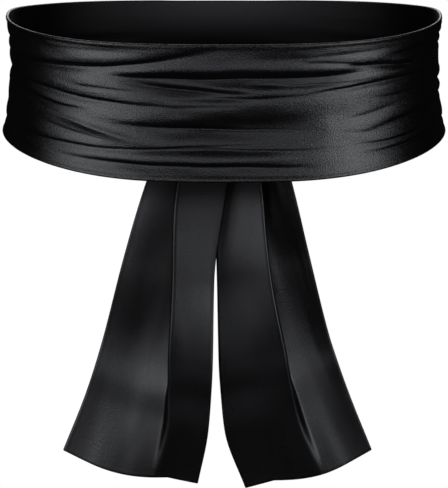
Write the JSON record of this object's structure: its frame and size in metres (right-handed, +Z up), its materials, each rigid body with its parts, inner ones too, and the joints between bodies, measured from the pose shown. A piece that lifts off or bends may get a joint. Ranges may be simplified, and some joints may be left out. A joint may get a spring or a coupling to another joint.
{
  "type": "satin waist sash",
  "caption": "Wide gathered satin sash as worn round a waist, knotted at the back, with long loose tails hanging from the knot.",
  "frame": {"origin": "centre of the waist ring, half way up the band at its sides", "axes": "+Z up along the wearer's waist, the front of the band towards -Y, the knot and tails towards +Y"},
  "size_m": [0.2784, 0.2358, 0.3476],
  "materials": {
    "band satin": "black satin, soft sheen",
    "knot satin": "black satin, soft sheen",
    "left tail satin": "black satin, smooth soft sheen",
    "right tail satin": "black satin, smooth soft sheen"
  },
  "bodies": {
    "root": {"waist_band": "band satin", "back_knot": "knot satin", "tail_left": "left tail satin", "tail_right": "right tail satin"}
  },
  "joints": []
}
